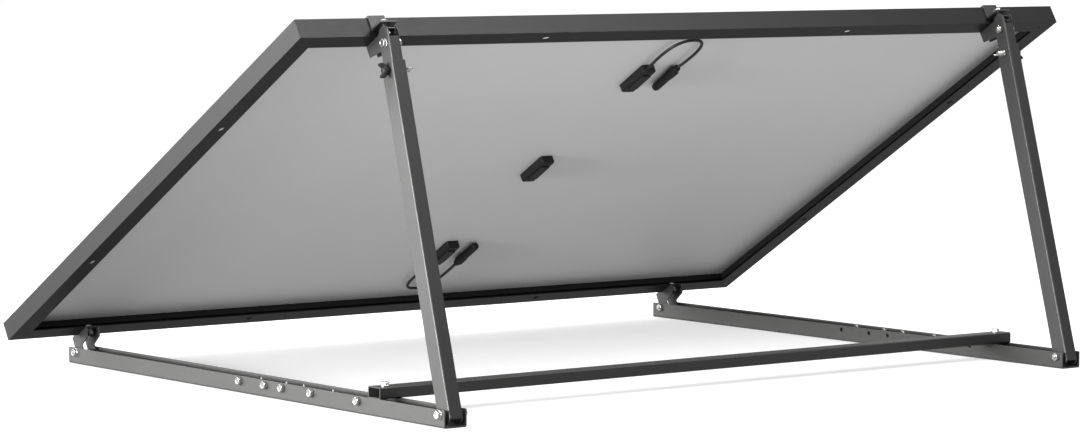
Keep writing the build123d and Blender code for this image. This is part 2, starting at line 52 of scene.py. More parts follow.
UP = Vector((0, 0, 1))
Triple = tuple[float, float, float]


# ---- Layout ------------------------------------------------------------------------------
@dataclass(frozen=True)
class Layout:
    """Places of the linkage, in millimetres, in the part's own frame.

    Attributes:
        tilt: Angle of the panel from level, in degrees.
        half_spacing: Distance of a rail's centre line from the middle.
        rear_y: Place of the rear pivots.
        front_y: Place of the front pivots.
        pivot_height: Height of those pivots.
        setback: Distance of the panel's low edge up the slope from the front pivots.
        low_depth: Distance of the frame's rear face in front of the front pivots.
        high_depth: Distance of it in front of the high pivots.
        height: Short side of the panel, up the slope.
        ledge: Distance of the backsheet in front of the frame's rear face.
        lock_reach: Distance of the lock bolts up the legs from the rear pivots.
    """

    tilt: float = 30.7
    half_spacing: float = 700.0
    rear_y: float = -586.0
    front_y: float = 574.0
    pivot_height: float = 21.5
    setback: float = 9.0
    low_depth: float = 30.5
    high_depth: float = 22.0
    height: float = 1134.0
    ledge: float = 28.0
    lock_reach: float = 576.0

    @property
    def across(self) -> Vector:
        """Direction of the panel's long side."""
        return Vector((1, 0, 0))

    @property
    def up_slope(self) -> Vector:
        """Direction up the panel."""
        a = math.radians(self.tilt)
        return Vector((0, -math.cos(a), math.sin(a)))

    @property
    def outward(self) -> Vector:
        """Normal of the panel's glass."""
        a = math.radians(self.tilt)
        return Vector((0, math.sin(a), math.cos(a)))

    @property
    def fold(self) -> float:
        """Angle at the low pivot between the rail and the line to the high pivot, in radians."""
        radius = self.front_y - self.rear_y
        return math.radians(self.tilt) + math.asin((self.low_depth - self.high_depth) / radius)

    @property
    def along(self) -> Vector:
        """Direction up a leg."""
        return Vector((0, math.sin(self.fold / 2), math.cos(self.fold / 2)))

    @property
    def forward(self) -> Vector:
        """Direction across a leg, towards its open side."""
        return Vector((0, math.cos(self.fold / 2), -math.sin(self.fold / 2)))

    @property
    def high_u(self) -> float:
        """Distance of the high pivot up the panel."""
        radius = self.front_y - self.rear_y
        return radius * math.cos(self.fold - math.radians(self.tilt)) - self.setback

    def on_panel(self, x: float, u: float, n: float = 0.0) -> Vector:
        """Point on the panel.

        Args:
            x: Distance across.
            u: Distance up from the low edge.
            n: Distance in front of the frame's rear face.

        Returns:
            The point in millimetres.
        """
        low = Vector((0, self.front_y, self.pivot_height))
        corner = low + self.up_slope * self.setback + self.outward * self.low_depth
        return corner + self.across * x + self.up_slope * u + self.outward * n

    def on_leg(self, x: float, s: float) -> Vector:
        """Point at distance s up a leg's pivot line, x across."""
        return Vector((x, self.rear_y, self.pivot_height)) + self.along * s


LAYOUT = Layout()


@dataclass(frozen=True)
class Seat:
    """Face that a fastener stands on: its origin and its own X and Z directions."""

    origin: Vector
    x_dir: Vector
    z_dir: Vector

    def matrix(self) -> Matrix:
        """Placement of the seat.

        Returns:
            The placement, in metres.
        """
        y_dir = self.z_dir.cross(self.x_dir)
        turn = Matrix((self.x_dir, y_dir, self.z_dir)).transposed().to_4x4()
        return Matrix.Translation(self.origin * MM) @ turn


def sideways(side: int, face: float, point: Vector, out: bool, turn: Optional[Vector] = None) -> Seat:
    """Seat across a rail's centre line.

    Args:
        side: -1 for the left, 1 for the right.
        face: Distance of the face from the centre line.
        point: Point whose height and depth the seat takes.
        out: Whether the face looks outboard.
        turn: The seat's own X direction; up when left out.

    Returns:
        The seat.
    """
    hand = side if out else -side
    x = side * LAYOUT.half_spacing + hand * face
    return Seat(Vector((x, point.y, point.z)), turn or UP, Vector((hand, 0, 0)))


# ---- Shader groups -----------------------------------------------------------------------
class Effect(Enum):
    """Surface effects that several finishes share."""

    GRAIN = "surface_grain"
    DRIFT = "tone_drift"
    # Painted highlight: lightens the colour along sharp edges.
    EDGE_HIGHLIGHT = "painted_edge_highlight"


def new_group(name: str, inputs: dict[str, tuple[str, object]], outputs: dict[str, str]) -> bpy.types.NodeTree:
    """Make an empty shader group.

    Args:
        name: Name of the group.
        inputs: Socket kind and default by input name.
        outputs: Socket kind by output name.

    Returns:
        The group.
    """
    tree = bpy.data.node_groups.new(name, "ShaderNodeTree")
    for label, (kind, value) in inputs.items():
        socket = tree.interface.new_socket(label, in_out="INPUT", socket_type=kind)
        socket.default_value = value
    for label, kind in outputs.items():
        tree.interface.new_socket(label, in_out="OUTPUT", socket_type=kind)
    tree.nodes.new("NodeGroupInput").name = "in"
    tree.nodes.new("NodeGroupOutput").name = "out"
    return tree


class Effects:
    """Shader groups, each built once."""

    def __init__(self) -> None:
        """Build every group."""
        self.trees = {
            Effect.GRAIN: self._grain(),
            Effect.DRIFT: self._drift(),
            Effect.EDGE_HIGHLIGHT: self._painted_edge_group(),
        }

    def _grain(self) -> bpy.types.NodeTree:
        """Fine noise, stretched along the rolling direction.

        Returns:
            The group.
        """
        tree = new_group(
            Effect.GRAIN.value,
            {"Stretch": ("NodeSocketVector", (1, 1, 1)), "Scale": ("NodeSocketFloat", 400.0)},
            {"Height": "NodeSocketFloat", "Shade": "NodeSocketFloat"},
        )
        nodes, links = tree.nodes, tree.links
        place = nodes.new("ShaderNodeTexCoord")
        stretch = nodes.new("ShaderNodeVectorMath")
        stretch.operation = "MULTIPLY"
        noise = nodes.new("ShaderNodeTexNoise")
        noise.inputs["Detail"].default_value = 4.0
        links.new(place.outputs["Object"], stretch.inputs[0])
        links.new(nodes["in"].outputs["Stretch"], stretch.inputs[1])
        links.new(stretch.outputs[0], noise.inputs["Vector"])
        links.new(nodes["in"].outputs["Scale"], noise.inputs["Scale"])
        links.new(noise.outputs["Fac"], nodes["out"].inputs["Height"])
        links.new(noise.outputs["Fac"], nodes["out"].inputs["Shade"])
        return tree

    def _drift(self) -> bpy.types.NodeTree:
        """Slow change of tone over a surface, with dusty patches.

        Returns:
            The group.
        """
        tree = new_group(
            Effect.DRIFT.value,
            {
                "Base": ("NodeSocketColor", (0.1, 0.1, 0.1, 1)),
                "Dust": ("NodeSocketColor", (0.3, 0.3, 0.3, 1)),
                "Amount": ("NodeSocketFloat", 0.1),
                "Scale": ("NodeSocketFloat", 6.0),
            },
            {"Color": "NodeSocketColor"},
        )
        nodes, links = tree.nodes, tree.links
        place = nodes.new("ShaderNodeTexCoord")
        noise = nodes.new("ShaderNodeTexNoise")
        noise.inputs["Detail"].default_value = 6.0
        band = nodes.new("ShaderNodeMapRange")
        band.inputs["From Min"].default_value = 0.35
        band.inputs["From Max"].default_value = 0.75
        amount = nodes.new("ShaderNodeMath")
        amount.operation = "MULTIPLY"
        mix = nodes.new("ShaderNodeMixRGB")
        links.new(place.outputs["Object"], noise.inputs["Vector"])
        links.new(nodes["in"].outputs["Scale"], noise.inputs["Scale"])
        links.new(noise.outputs["Fac"], band.inputs["Value"])
        links.new(band.outputs["Result"], amount.inputs[0])
        links.new(nodes["in"].outputs["Amount"], amount.inputs[1])
        links.new(amount.outputs[0], mix.inputs["Fac"])
        links.new(nodes["in"].outputs["Base"], mix.inputs["Color1"])
        links.new(nodes["in"].outputs["Dust"], mix.inputs["Color2"])
        links.new(mix.outputs["Color"], nodes["out"].inputs["Color"])
        return tree

    def _painted_edge_group(self) -> bpy.types.NodeTree:
        """Mask for a painted highlight, strongest along sharp edges, with the rounded normal of those edges.

        Returns:
            The group.
        """
        tree = new_group(
            Effect.EDGE_HIGHLIGHT.value,
            {"Radius": ("NodeSocketFloat", 0.0008), "Strength": ("NodeSocketFloat", 1.0)},
            {"Mask": "NodeSocketFloat", "Normal": "NodeSocketVector"},
        )
        nodes, links = tree.nodes, tree.links
        bevel = nodes.new("ShaderNodeBevel")
        bevel.samples = 4
        flat = nodes.new("ShaderNodeNewGeometry")
        dot = nodes.new("ShaderNodeVectorMath")
        dot.operation = "DOT_PRODUCT"
        flip = nodes.new("ShaderNodeMath")
        flip.operation = "SUBTRACT"
        flip.inputs[0].default_value = 1.0
        gain = nodes.new("ShaderNodeMath")
        gain.operation = "MULTIPLY"
        gain.use_clamp = True
        links.new(nodes["in"].outputs["Radius"], bevel.inputs["Radius"])
        links.new(bevel.outputs["Normal"], dot.inputs[0])
        links.new(flat.outputs["Normal"], dot.inputs[1])
        links.new(dot.outputs["Value"], flip.inputs[1])
        links.new(flip.outputs[0], gain.inputs[0])
        links.new(nodes["in"].outputs["Strength"], gain.inputs[1])
        links.new(gain.outputs[0], nodes["out"].inputs["Mask"])
        links.new(bevel.outputs["Normal"], nodes["out"].inputs["Normal"])
        return tree

    def place(self, material: bpy.types.Material, effect: Effect) -> bpy.types.Node:
        """Put an effect in a material.

        Args:
            material: The material.
            effect: The effect.

        Returns:
            The group's node, to be given its values.
        """
        node = material.node_tree.nodes.new("ShaderNodeGroup")
        node.node_tree = self.trees[effect]
        return node


# ---- Finishes ----------------------------------------------------------------------------
@dataclass(frozen=True)
class Finish:
    """A surface finish.

    Attributes:
        name: Name of the material.
        base: Main colour.
        dust: Colour that the base drifts to.
        drift: How far it drifts.
        metallic: Metallic value.
        rough: Lowest and highest roughness.
        grain: Scale of the grain.
        stretch: Grain stretch by axis.
        bump: Height of the grain, in metres.
        edge_highlight: Strength of the painted highlight along sharp edges.
        highlight_color: Colour of that painted highlight.
        coat: Clear coat weight.
        transmission: Transmission weight.
        shine: Specular level.
        band: Range of the grain that the roughness follows.
        relief: Strength of the grain's bump.
    """

    name: str
    base: Triple
    dust: Triple
    drift: float = 0.25
    metallic: float = 0.0
    rough: tuple[float, float] = (0.35, 0.5)
    grain: float = 900.0
    stretch: Triple = (1.0, 1.0, 1.0)
    bump: float = 0.00002
    edge_highlight: float = 0.6
    highlight_color: Triple = (0.35, 0.35, 0.35)
    coat: float = 0.0
    transmission: float = 0.0
    shine: float = 0.5
    band: tuple[float, float] = (0.3, 0.7)
    relief: float = 0.5

    def build(self, effects: Effects) -> bpy.types.Material:
        """Make the material.

        Args:
            effects: The shared shader groups.

        Returns:
            The material.
        """
        material = bpy.data.materials.new(self.name)
        material.use_nodes = True
        nodes, links = material.node_tree.nodes, material.node_tree.links
        shader = nodes["Principled BSDF"]
        shader.inputs["Metallic"].default_value = self.metallic
        shader.inputs["Coat Weight"].default_value = self.coat
        shader.inputs["Transmission Weight"].default_value = self.transmission
        shader.inputs["Specular IOR Level"].default_value = self.shine
        drift = effects.place(material, Effect.DRIFT)
        drift.inputs["Base"].default_value = (*self.base, 1)
        drift.inputs["Dust"].default_value = (*self.dust, 1)
        drift.inputs["Amount"].default_value = self.drift
        grain = effects.place(material, Effect.GRAIN)
        grain.inputs["Scale"].default_value = self.grain
        grain.inputs["Stretch"].default_value = self.stretch
        # Painted highlight: the bevel mask mixes sharp edges towards a lighter colour.
        edge_highlight = effects.place(material, Effect.EDGE_HIGHLIGHT)
        edge_highlight.inputs["Strength"].default_value = self.edge_highlight
        edge = nodes.new("ShaderNodeMixRGB")
        edge.inputs["Color2"].default_value = (*self.highlight_color, 1)
        links.new(edge_highlight.outputs["Mask"], edge.inputs["Fac"])
        links.new(drift.outputs["Color"], edge.inputs["Color1"])
        links.new(edge.outputs["Color"], shader.inputs["Base Color"])
        gloss = nodes.new("ShaderNodeMapRange")
        gloss.inputs["From Min"].default_value, gloss.inputs["From Max"].default_value = self.band
        gloss.inputs["To Min"].default_value, gloss.inputs["To Max"].default_value = self.rough
        links.new(grain.outputs["Shade"], gloss.inputs["Value"])
        links.new(gloss.outputs["Result"], shader.inputs["Roughness"])
        bump = nodes.new("ShaderNodeBump")
        bump.inputs["Strength"].default_value = self.relief
        bump.inputs["Distance"].default_value = self.bump
        links.new(grain.outputs["Height"], bump.inputs["Height"])
        links.new(edge_highlight.outputs["Normal"], bump.inputs["Normal"])
        links.new(bump.outputs["Normal"], shader.inputs["Normal"])
        return material


class Look(Enum):
    """The finishes of the mount and the panel."""

    # Each finish's edge colour is a painted highlight, lighter than its base.
    FRAME = Finish(
        "frame_anodised", (0.008, 0.008, 0.0085), (0.014, 0.014, 0.0145), rough=(0.40, 0.52),
        stretch=(0.05, 1, 1), highlight_color=(0.11, 0.11, 0.11), edge_highlight=0.4, shine=0.27,
    )
    RAIL = Finish(
        "rail_anodised", (0.034, 0.034, 0.033), (0.050, 0.050, 0.049), metallic=0.05, rough=(0.38, 0.50),
        stretch=(1, 0.04, 1), highlight_color=(0.30, 0.30, 0.29), edge_highlight=0.5,
    )
    CROSSBAR = Finish(
        "crossbar_anodised", (0.020, 0.020, 0.0195), (0.032, 0.032, 0.031), metallic=0.05, rough=(0.38, 0.50),
        stretch=(0.04, 1, 1), highlight_color=(0.28, 0.28, 0.27), edge_highlight=0.5,
    )
    LEG = Finish(
        "leg_anodised", (0.023, 0.023, 0.0225), (0.036, 0.036, 0.035), metallic=0.05, rough=(0.40, 0.54),
        stretch=(1, 1, 0.05), highlight_color=(0.32, 0.32, 0.31), edge_highlight=0.6,
    )
    BRACKET = Finish(
        "bracket_anodised", (0.022, 0.022, 0.0215), (0.036, 0.036, 0.035), metallic=0.1, rough=(0.40, 0.54),
        highlight_color=(0.30, 0.30, 0.30), edge_highlight=0.6,
    )
    STEEL = Finish(
        "stainless", (0.66, 0.66, 0.65), (0.52, 0.52, 0.51), metallic=1.0, rough=(0.18, 0.32),
        grain=1500.0, highlight_color=(0.85, 0.85, 0.84), edge_highlight=0.5,
    )
    BUSH = Finish("turned_bush", (0.42, 0.42, 0.42), (0.34, 0.34, 0.34), metallic=1.0, rough=(0.28, 0.42))
    PLASTIC = Finish(
        "black_moulded", (0.007, 0.007, 0.0075), (0.013, 0.013, 0.0135), rough=(0.40, 0.56), grain=2200.0,
        bump=0.00003, highlight_color=(0.04, 0.04, 0.04), edge_highlight=0.4, shine=0.32,
    )
    JACKET = Finish(
        "cable_jacket", (0.010, 0.010, 0.011), (0.020, 0.020, 0.021), rough=(0.42, 0.6), grain=1800.0,
        highlight_color=(0.03, 0.03, 0.03), edge_highlight=0.2,
    )
    BACKSHEET = Finish(
        "backsheet_film", (0.76, 0.76, 0.765), (0.72, 0.72, 0.725), drift=0.35, rough=(0.42, 0.58), grain=600.0,
        bump=0.00001, highlight_color=(0.7, 0.7, 0.7), edge_highlight=0.0,
    )
    CELL = Finish(
        "solar_cell", (0.006, 0.010, 0.026), (0.010, 0.016, 0.040), drift=0.5, rough=(0.22, 0.34), grain=260.0,
        coat=0.4, highlight_color=(0.03, 0.04, 0.08), edge_highlight=0.3,
    )
    RIBBON = Finish(
        "busbar_ribbon", (0.55, 0.55, 0.55), (0.45, 0.45, 0.45), metallic=1.0, rough=(0.25, 0.4), edge_highlight=0.0,
    )
    GLASS = Finish(
        "solar_glass", (0.93, 0.96, 0.95), (0.90, 0.94, 0.93), drift=0.1, rough=(0.09, 0.13), grain=1800.0,
        bump=0.000002, edge_highlight=0.0, transmission=1.0, shine=0.2,
    )


class Wardrobe:
    """Materials by look, each made once."""

    def __init__(self) -> None:
        """Start with the shared effects and no materials."""
        self.effects = Effects()
        self.made: dict[Look, bpy.types.Material] = {}

    def get(self, look: Look) -> bpy.types.Material:
        """Find the material of a look, or make it.

        Args:
            look: The look.

        Returns:
            The material.
        """
        if look not in self.made:
            self.made[look] = look.value.build(self.effects)
        return self.made[look]

    def dress(self, look: Look, *nodes: str) -> None:
        """Give CAD nodes a look.

        Args:
            look: The look.
            nodes: Names of the nodes.
        """
        for name in nodes:
            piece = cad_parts[name]
            if not piece.material_slots:
                piece.data.materials.append(None)
            for slot in piece.material_slots:
                slot.material = self.get(look)
            log.info("%s: %s", name, look.value.name)


# ---- Mesh helpers ------------------------------------------------------------------------
class Outline(Enum):
    """Outline of a ring on a turned shape."""

    ROUND = "round"
    HEXAGON = "hexagon"
    RIBBED = "ribbed"


ROUND, HEXAGON, RIBBED = Outline
Ring = tuple[float, float, Outline]
Profile = Sequence[Ring]


def new_piece(name: str, mesh: bpy.types.Mesh) -> bpy.types.Object:
    """Put a mesh in the scene.

    Args:
        name: Name of the object.
        mesh: The mesh.

    Returns:
        An object at the origin that holds the mesh.
    """
    piece = bpy.data.objects.new(name, mesh)
    bpy.context.scene.collection.objects.link(piece)
    return piece


def saved(name: str, mesh: bmesh.types.BMesh) -> bpy.types.Mesh:
    """Turn an edit mesh into a plain mesh, and free it.

    Args:
        name: Name of the plain mesh.
        mesh: The edit mesh.

    Returns:
        The plain mesh.
    """
    data = bpy.data.meshes.new(name)
    mesh.to_mesh(data)
    mesh.free()
    return data


def reach_at(angle: float, ring: Ring, flats: float, ribs: int, depth: float) -> float:
    """Distance of a ring's outline from its axis.

    Args:
        angle: Direction from the axis, in radians.
        ring: The ring.
        flats: Width across flats of a hexagon.
        ribs: Number of ribs round a ribbed ring.
        depth: Depth of those ribs.

    Returns:
        The distance, in millimetres.
    """
    _, radius, outline = ring
    if outline is HEXAGON:
        return min(radius, flats / 2 / math.cos(angle % (math.pi / 3) - math.pi / 6))
    if outline is RIBBED:
        return radius - depth * (0.5 + 0.5 * math.cos(ribs * angle))
    return radius


def turned(name: str, profile: Profile, hollow: bool = False, segments: int = 48, flats: float = 0.0,
           ribs: int = 0, depth: float = 0.0) -> bpy.types.Mesh:
    """Turn a profile about Z, with hexagonal or ribbed stretches.

    Args:
        name: Name of the mesh.
        profile: Height, radius and outline of each ring, in millimetres.
        hollow: Whether the profile is a closed ring round a bore.
        segments: Points round each ring.
        flats: Width across flats of the hexagonal rings.
        ribs: Number of ribs round the ribbed rings.
        depth: Depth of those ribs.

    Returns:
        The mesh, in metres.
    """
    mesh = bmesh.new()
    rings = []
    for ring in profile:
        corners = []
        for step in range(segments):
            angle = 2 * math.pi * step / segments
            reach = reach_at(angle, ring, flats, ribs, depth)
            corners.append(mesh.verts.new((reach * math.cos(angle) * MM, reach * math.sin(angle) * MM, ring[0] * MM)))
        rings.append(corners)
    pairs = list(zip(rings, rings[1:]))
    if hollow:
        pairs.append((rings[-1], rings[0]))
    for low, high in pairs:
        for step in range(segments):
            after = (step + 1) % segments
            mesh.faces.new((low[step], low[after], high[after], high[step]))
    if not hollow:
        mesh.faces.new(rings[0])
        mesh.faces.new(rings[-1])
    bmesh.ops.recalc_face_normals(mesh, faces=mesh.faces)
    return saved(name, mesh)


def prism(name: str, outline: Sequence[tuple[float, float]], thickness: float, bevel: float) -> bpy.types.Mesh:
    """Extrude an outline in the XZ plane by its thickness along Y, with rounded edges.

    Args:
        name: Name of the mesh.
        outline: Points x, z in millimetres.
        thickness: Full thickness.
        bevel: Rounding of every edge.

    Returns:
        The mesh, in metres.
    """
    mesh = bmesh.new()
    near = [mesh.verts.new((x * MM, -thickness / 2 * MM, z * MM)) for x, z in outline]
    far = [mesh.verts.new((x * MM, thickness / 2 * MM, z * MM)) for x, z in outline]
    mesh.faces.new(near)
    mesh.faces.new(list(reversed(far)))
    for step in range(len(outline)):
        after = (step + 1) % len(outline)
        mesh.faces.new((near[step], far[step], far[after], near[after]))
    bmesh.ops.bevel(mesh, geom=mesh.edges[:], offset=bevel * MM, segments=3, profile=0.5, affect="EDGES",
                    clamp_overlap=True)
    bmesh.ops.recalc_face_normals(mesh, faces=mesh.faces)
    return saved(name, mesh)


def joined(name: str, parts: Iterable[tuple[bpy.types.Mesh, Matrix]]) -> bpy.types.Mesh:
    """Gather several meshes in one.

    Args:
        name: Name of the mesh.
        parts: Each mesh with its placement.

    Returns:
        The mesh.
    """
    mesh = bmesh.new()
    for data, place in parts:
        copy = data.copy()
        copy.transform(place)
        mesh.from_mesh(copy)
        bpy.data.meshes.remove(copy)
    return saved(name, mesh)


# ---- Geometry Nodes ----------------------------------------------------------------------
def new_tree(name: str, inputs: dict[str, str]) -> bpy.types.NodeTree:
    """Make an empty geometry tree.

    Args:
        name: Name of the tree.
        inputs: Socket kind by input name, besides the geometry.

    Returns:
        The tree, with one geometry input and one geometry output.
    """
    tree = bpy.data.node_groups.new(name, "GeometryNodeTree")
    tree.interface.new_socket("Geometry", in_out="INPUT", socket_type="NodeSocketGeometry")
    for label, kind in inputs.items():
        tree.interface.new_socket(label, in_out="INPUT", socket_type=kind)
    tree.interface.new_socket("Geometry", in_out="OUTPUT", socket_type="NodeSocketGeometry")
    tree.nodes.new("NodeGroupInput").name = "in"
    tree.nodes.new("NodeGroupOutput").name = "out"
    return tree


def grown(name: str, tree: bpy.types.NodeTree, seed: bpy.types.Mesh, values: dict[str, object]) -> bpy.types.Object:
    """Run a tree over a mesh and keep the result as a plain mesh.

    Args:
        name: Name of the piece.
        tree: The geometry tree.
        seed: Mesh that the tree starts from.
        values: Value of each named input.

    Returns:
        The finished piece.
    """
    holder = new_piece(f"{name}_seed", seed)
    modifier = holder.modifiers.new("grow", "NODES")
    modifier.node_group = tree
    sockets = {item.name: item.identifier for item in tree.interface.items_tree if item.in_out == "INPUT"}
    for label, value in values.items():
        modifier[sockets[label]] = value
    holder.update_tag()
    graph = bpy.context.evaluated_depsgraph_get()
    data = bpy.data.meshes.new_from_object(holder.evaluated_get(graph), depsgraph=graph)
    data.name = name
    holder.modifiers.remove(modifier)
    bpy.data.objects.remove(holder)
    return new_piece(name, data)


def seat_tree() -> bpy.types.NodeTree:
    """Make the tree that stands a shape on every seat point, turned by the point's own turn.

    Returns:
        The tree.
    """
    inputs = {"Shape": "NodeSocketObject", "Size": "NodeSocketFloat", "Finish": "NodeSocketMaterial"}
    tree = new_tree("stand_on_seats", inputs)
    nodes, links = tree.nodes, tree.links
    turn = nodes.new("GeometryNodeInputNamedAttribute")
    turn.data_type = "FLOAT_VECTOR"
    turn.inputs["Name"].default_value = "turn"
    spin = nodes.new("FunctionNodeEulerToRotation")
    shape = nodes.new("GeometryNodeObjectInfo")
    stand = nodes.new("GeometryNodeInstanceOnPoints")
    real = nodes.new("GeometryNodeRealizeInstances")
    finish = nodes.new("GeometryNodeSetMaterial")
    links.new(turn.outputs["Attribute"], spin.inputs[0])
    links.new(nodes["in"].outputs["Shape"], shape.inputs["Object"])
    links.new(nodes["in"].outputs["Geometry"], stand.inputs["Points"])
    links.new(shape.outputs["Geometry"], stand.inputs["Instance"])
    links.new(spin.outputs[0], stand.inputs["Rotation"])
    links.new(nodes["in"].outputs["Size"], stand.inputs["Scale"])
    links.new(stand.outputs["Instances"], real.inputs["Geometry"])
    links.new(real.outputs["Geometry"], finish.inputs["Geometry"])
    links.new(nodes["in"].outputs["Finish"], finish.inputs["Material"])
    links.new(finish.outputs["Geometry"], nodes["out"].inputs["Geometry"])
    return tree


class Stands:
    """Stands one shape on many seats by Geometry Nodes."""

    def __init__(self) -> None:
        """Build the tree."""
        self.tree = seat_tree()

    def place(self, name: str, shape: bpy.types.Mesh, seats: Sequence[Seat],
              material: bpy.types.Material) -> bpy.types.Object:
        """Stand a shape on seats.

        Args:
            name: Name of the piece.
            shape: The shape, on its own Z axis.
            seats: Where it stands.
            material: Its material.

        Returns:
            One piece that holds all of them.
        """
        points = bpy.data.meshes.new(f"{name}_points")
        places = [seat.matrix() for seat in seats]
        points.from_pydata([place.to_translation() for place in places], [], [])
        turns = points.attributes.new("turn", "FLOAT_VECTOR", "POINT")
        for index, place in enumerate(places):
            turns.data[index].vector = place.to_euler()
        sample = new_piece(f"{name}_sample", shape)
        piece = grown(name, self.tree, points, {"Shape": sample, "Size": 1.0, "Finish": material})
        bpy.data.objects.remove(sample)
        return piece


# ---- Fasteners ---------------------------------------------------------------------------
@dataclass(frozen=True)
class Thread:
    """Rolled thread, in millimetres."""

    radius: float = 4.0
    root: float = 3.45
    pitch: float = 1.25

    def rings(self, start: float, end: float, rise: float) -> list[Ring]:
        """Roots and crests along a shank.

        Args:
            start: Height of the first root.
            end: Height that no root reaches.
            rise: Height of a crest over its root.

        Returns:
            The rings, from the lowest up.
        """
        rings: list[Ring] = []
        height = start
        while height < end:
            rings += [(height, self.root, ROUND), (height + rise, self.radius, ROUND)]
            height += self.pitch
        return rings


@dataclass(frozen=True)
class Shank:
    """Lengths of a bolt below its collar and of its thread, in millimetres."""

    length: float
    thread: float


@dataclass
class Fasteners:
    """Bolts and nuts of the rails, the crossbar and the panel's edges, in millimetres.

    Attributes:
        wardrobe: The materials.
        stands: Stands shapes on seats.
        thread: Thread of every bolt.
        flats: Width across flats of heads and nuts.
        head: Height of a head.
        nut: Height of a nut.
        collar: Radius of the collar under a head.
        small_collar: Radius of the collar where the head sits close to another piece.
        collar_height: Height of a collar.
        corner: Radius over the corners of heads and nuts.
        face: Radius of the flat face inside their chamfer.
        wall_face: Distance of a rail wall's outer face from the rail's centre line.
        wall_inside: Distance of its inner face.
        floor_top: Top of the rail's web.
        bar_offset: Distance of the crossbar from the rear pivots.
        bar_top: Height of the crossbar's top.
        presets: Distances of the preset bolts from the rear pivots.
        edge_hole: Distance of the hinge brackets' holes from the panel's low edge.
        bracket_face: Place of the hinge brackets' rear face.
        flange_face: Place of the frame flange's inner face.
        clamp_face: Place of the end clamps' front face.
        fold_face: Place of the pivot brackets' rear face.
        cheek_face: Distance of a pivot bracket's cheek from the leg's centre line.
    """

    wardrobe: Wardrobe
    stands: Stands
    thread: Thread = Thread()
    flats: float = 13.0
    head: float = 5.3
    nut: float = 6.5
    collar: float = 8.0
    small_collar: float = 6.4
    collar_height: float = 1.6
    corner: float = 7.55
    face: float = 6.3
    wall_face: float = 22.5
    wall_inside: float = 20.0
    floor_top: float = 2.5
    bar_offset: float = 185.5
    bar_top: float = 50.0
    presets: tuple[float, ...] = (232.5, 372, 462, 516, 596)
    edge_hole: float = 20.0
    bracket_face: float = -2.5
    flange_face: float = 1.8
    clamp_face: float = 13.0
    fold_face: float = -2.0
    cheek_face: float = 11.5

    def bolt_profile(self, shank: Shank, collar: float) -> Profile:
        """Rings of a bolt from its tip to its head.

        Args:
            shank: Lengths of the shank and the thread.
            collar: Radius of the collar.

        Returns:
            The rings.
        """
        radius, lip, top = self.thread.radius, self.collar_height, self.collar_height + self.head
        return [
            (-shank.length, radius - 0.8, ROUND),
            *self.thread.rings(-shank.length + 0.6, -shank.length + shank.thread, self.thread.pitch / 2),
            (-0.05, radius, ROUND), (0.0, collar - 0.3, ROUND), (0.3, collar, ROUND),
            (lip - 0.3, collar, ROUND), (lip, collar - 0.4, ROUND), (lip + 0.02, self.corner, HEXAGON),
            (top - 0.7, self.corner, HEXAGON), (top, self.face, ROUND),
            (top, self.face - 1.6, ROUND), (top - 0.3, self.face - 2.0, ROUND),
        ]

    def nut_profile(self) -> Profile:
        """Rings of a nut, down its outside and up its bore.

        Returns:
            The rings.
        """
        bore = self.thread.radius + 0.1
        return [
            (0.0, bore, ROUND), (0.0, self.face, ROUND), (0.6, self.corner, HEXAGON),
            (self.nut - 0.6, self.corner, HEXAGON), (self.nut, self.face, ROUND),
            (self.nut, bore + 0.3, ROUND), (self.nut - 0.3, bore, ROUND),
        ]

    def bolts(self, node: str, body: str, seats: Sequence[Seat], shank: Shank,
              collar: Optional[float] = None) -> None:
        """Replace a node of bolts, with the usual collar where none is given."""
        shape = turned(node, self.bolt_profile(shank, collar or self.collar), flats=self.flats)
        self.settle(node, body, shape, seats)

    def nuts(self, node: str, body: str, seats: Sequence[Seat]) -> None:
        """Replace a node of nuts."""
        self.settle(node, body, turned(node, self.nut_profile(), hollow=True, flats=self.flats), seats)

    def settle(self, node: str, body: str, shape: bpy.types.Mesh, seats: Sequence[Seat]) -> None:
        """Stand a shape on its seats and replace its node.

        Args:
            node: The CAD node.
            body: The body that it rides on.
            shape: One bolt or nut.
            seats: Where it stands.
        """
        piece = self.stands.place(f"{node}_fine", shape, seats, self.wardrobe.get(Look.STEEL))
        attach(piece, body)
        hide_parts(node)
        log.info("%s: %d", node, len(seats))

    def flat(self, y: float, height: float) -> list[Seat]:
        """Level seats over both rails' centre lines."""
        return [Seat(Vector((side * LAYOUT.half_spacing, y, height)), LAYOUT.across, UP) for side in SIDES.values()]

    def pair(self, face: float, points: Sequence[Vector], out: bool) -> list[Seat]:
        """Seats across both rails' centre lines, at each point."""
        return [sideways(side, face, point, out) for side in SIDES.values() for point in points]

    def sloped(self, u: float, n: float, x_dir: Vector, z_dir: Vector) -> list[Seat]:
        """Seats on the panel, in line with both rails."""
        return [Seat(LAYOUT.on_panel(side * LAYOUT.half_spacing, u, n), x_dir, z_dir) for side in SIDES.values()]

    def build_base(self) -> None:
        """Build the bolts and nuts of the rails and the crossbar."""
        place = LAYOUT
        bar_y = place.rear_y + self.bar_offset
        self.bolts("crossbar_bolts", "base", self.flat(bar_y, self.bar_top), Shank(47.0, 20.0))
        self.nuts("crossbar_nuts", "base", self.flat(bar_y, self.floor_top))
        for end, y in (("rear", place.rear_y), ("front", place.front_y)):
            point = Vector((0, y, place.pivot_height))
            self.bolts(f"{end}_pivot_bolts", "base", self.pair(self.wall_face, [point], True), Shank(54.5, 14.0))
            self.nuts(f"{end}_pivot_nuts", "base", self.pair(self.wall_face, [point], False))
        points = [Vector((0, place.rear_y + offset, place.pivot_height)) for offset in self.presets]
        self.bolts("preset_bolts", "base", self.pair(self.wall_face, points, True), Shank(10.5, 8.0),
                   self.small_collar)
        self.nuts("preset_nuts", "base", self.pair(-self.wall_inside, points, False))

